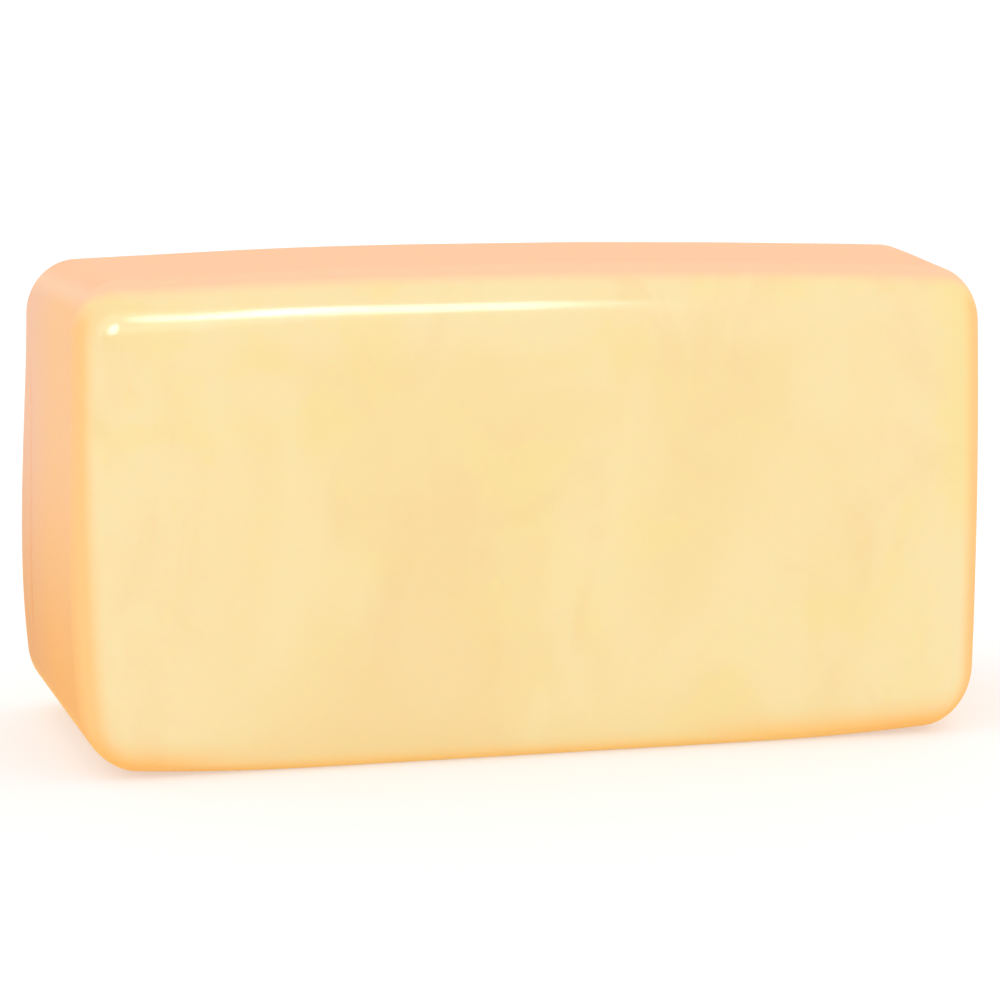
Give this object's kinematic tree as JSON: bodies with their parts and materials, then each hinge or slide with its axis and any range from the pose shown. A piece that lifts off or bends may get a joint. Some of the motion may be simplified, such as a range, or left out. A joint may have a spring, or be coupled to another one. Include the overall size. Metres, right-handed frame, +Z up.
{
  "type": "mozzarella block",
  "caption": "Rectangular block of mozzarella cheese with soft rounded edges, gently bulging faces and a slightly sloping top, standing on its long narrow side.",
  "frame": {"origin": "middle of the block's bounding box, at the level of the flat middle of its base", "axes": "+X along the block to its lower right end, +Y from the shown face to the back, +Z up"},
  "size_m": [0.2336, 0.0868, 0.1195],
  "materials": {
    "mozzarella": "smooth, slightly shiny pale yellow cheese skin"
  },
  "bodies": {
    "root": {"mozzarella_block": "mozzarella"}
  },
  "joints": []
}
